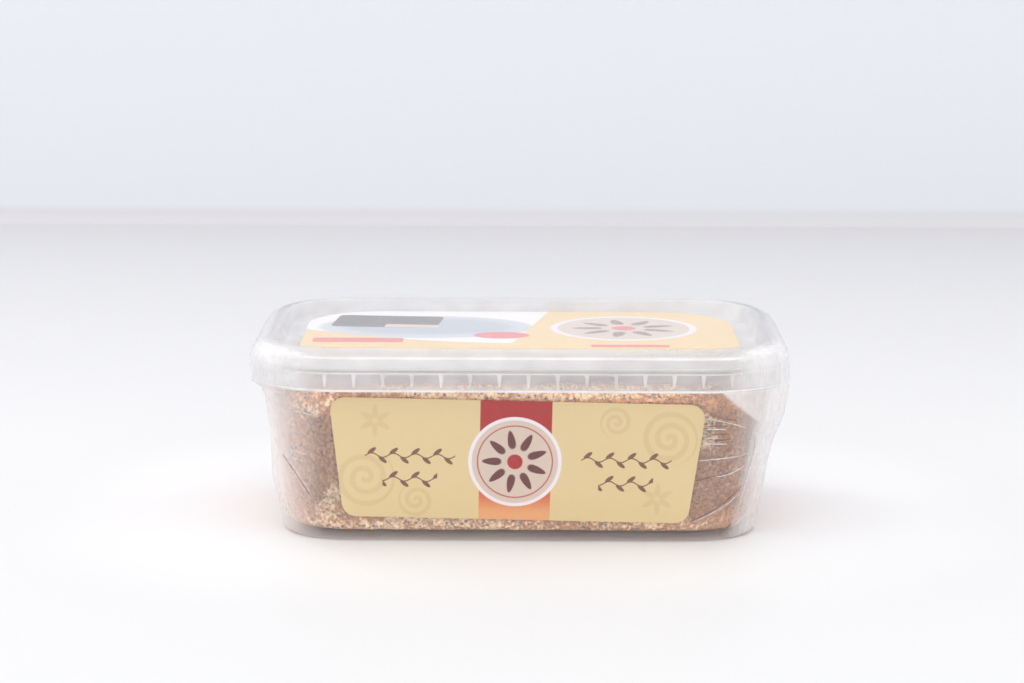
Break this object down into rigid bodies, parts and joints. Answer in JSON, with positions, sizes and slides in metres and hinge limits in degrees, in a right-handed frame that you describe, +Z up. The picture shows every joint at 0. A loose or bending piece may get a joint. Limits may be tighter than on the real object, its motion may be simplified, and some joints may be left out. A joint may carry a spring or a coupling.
{
  "type": "sealed tub of marbled chocolate halva",
  "caption": "Clear tapered rectangular tub filled with marbled chocolate halva, with a clear lid, printed labels and a clear stretched film wrap.",
  "frame": {"origin": "on the surface the tub stands on, under the middle of the tub", "axes": "+X along the long side, +Z up, the front label faces -Y"},
  "size_m": [0.1702, 0.1136, 0.0622],
  "materials": {
    "clear_tub_plastic": "clear, slightly hazy plastic",
    "clear_lid_plastic": "clear, slightly hazy plastic",
    "marbled_halva": "matt, grainy, cocoa brown marbled with cream",
    "side_label_print": "smooth printed label, cream with a red band",
    "top_label_print": "smooth printed label, orange, white and red",
    "stretched_film": "thin clear glossy film"
  },
  "bodies": {
    "root": {"tub": "clear_tub_plastic", "lid": "clear_lid_plastic", "halva_block": "marbled_halva", "front_label": "side_label_print", "back_label": "side_label_print", "top_label": "top_label_print", "film_wrap": "stretched_film"}
  },
  "joints": []
}
